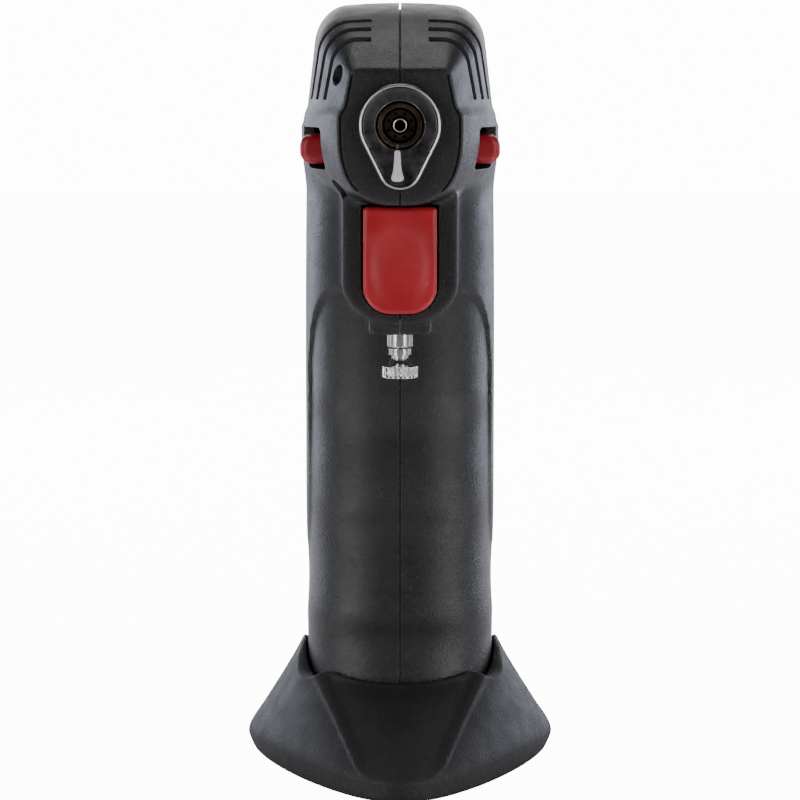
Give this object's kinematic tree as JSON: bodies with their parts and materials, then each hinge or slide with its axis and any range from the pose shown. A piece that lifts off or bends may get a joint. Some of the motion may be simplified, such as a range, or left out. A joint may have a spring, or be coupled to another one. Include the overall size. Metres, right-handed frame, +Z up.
{
  "type": "butane torch",
  "caption": "Table-top butane torch with a pistol grip over a fuel tank, a pull trigger, a two-sided lock slider, a knurled flame knob and a lift-off stand.",
  "frame": {"origin": "centre of the stand's foot on the bench", "axes": "+Z up through the grip, -Y the way the burner points, +X the user's right when facing the burner"},
  "size_m": [0.0656, 0.1068, 0.16],
  "materials": {
    "stand_plastic": "fine spark-eroded grain",
    "casing_plastic": "fine spark-eroded grain",
    "red_plastic": "satin",
    "bright_nickel": "polished plate",
    "dark_steel": "pressed, dark, bright rolled rim",
    "burnt_steel": "heat-darkened",
    "zinc_steel": "zinc plate",
    "black_steel": "black oxide",
    "spring_steel": "drawn wire",
    "brass": "machined",
    "ceramic": "fired white",
    "tank_nylon": "moulded",
    "igniter_plastic": "moulded",
    "hose_rubber": "extruded",
    "seal_rubber": "moulded",
    "lead_silicone": "extruded"
  },
  "bodies": {
    "stand": {"stand": "stand_plastic"},
    "torch": {"casing_right": "casing_plastic", "casing_left": "casing_plastic", "adjuster_bushing": "bright_nickel", "regulator_block": "brass", "heat_shield": "dark_steel", "burner_tube": "burnt_steel", "flame_holder": "burnt_steel", "gas_jet": "zinc_steel", "burner_holder": "zinc_steel", "electrode_insulator": "ceramic", "electrode_tip": "burnt_steel", "igniter_body": "igniter_plastic", "igniter_spring": "spring_steel", "piezo_crystal": "ceramic", "igniter_lead": "lead_silicone", "tank_body": "tank_nylon", "tank_lid": "tank_nylon", "valve_seal": "seal_rubber", "main_valve_body": "brass", "valve_spring": "spring_steel", "lever_pin": "zinc_steel", "lower_gas_hose": "hose_rubber", "upper_gas_hose": "hose_rubber", "pickup_tube": "hose_rubber", "refill_valve_body": "brass", "refill_spring": "spring_steel", "refill_seal": "seal_rubber", "case_screw_1": "black_steel", "case_screw_2": "black_steel", "case_screw_3": "black_steel", "case_screw_4": "black_steel", "case_screw_5": "black_steel", "case_screw_6": "black_steel"},
    "trigger": {"trigger": "red_plastic", "igniter_plunger": "red_plastic"},
    "lock_slider": {"lock_slider": "red_plastic"},
    "flame_knob": {"flame_knob": "bright_nickel"},
    "valve_lever": {"valve_lever": "zinc_steel"},
    "valve_stem": {"valve_stem": "brass"},
    "refill_stem": {"refill_valve_stem": "brass"}
  },
  "joints": [
    {"name": "stand_release", "type": "slide", "parent": "stand", "child": "torch", "axis": [0, 0, 1], "range_m": [0, 0.03]},
    {"name": "trigger_pull", "type": "slide", "parent": "torch", "child": "trigger", "axis": [0, 1, 0], "range_m": [0, 0.0045], "stiffness_N_per_m": 900, "springref_m": -0.003, "deforming": ["igniter_spring"]},
    {"name": "lock_slide", "type": "slide", "parent": "torch", "child": "lock_slider", "axis": [0, -1, 0], "range_m": [0, 0.004]},
    {"name": "flame_adjust", "type": "hinge", "parent": "torch", "child": "flame_knob", "pos_m": [0, -0.0322, 0.085], "axis": [0, 0, 1], "range_deg": [-135, 135]},
    {"name": "valve_lever_pivot", "type": "hinge", "parent": "torch", "child": "valve_lever", "pos_m": [0, 0.013, 0.1028], "axis": [-1, 0, 0], "range_deg": [0, 3.2]},
    {"name": "valve_lift", "type": "slide", "parent": "torch", "child": "valve_stem", "axis": [0, 0, 1], "range_m": [0, 0.00072], "deforming": ["valve_spring"]},
    {"name": "refill_press", "type": "slide", "parent": "torch", "child": "refill_stem", "axis": [0, 0, 1], "range_m": [0, 0.0015], "stiffness_N_per_m": 600, "springref_m": -0.001, "deforming": ["refill_spring"]}
  ],
  "couplings": [
    {"joint": "valve_lever_pivot", "follows": "trigger_pull", "rad_per_m": 12},
    {"joint": "valve_lift", "follows": "trigger_pull", "ratio": 0.156}
  ]
}
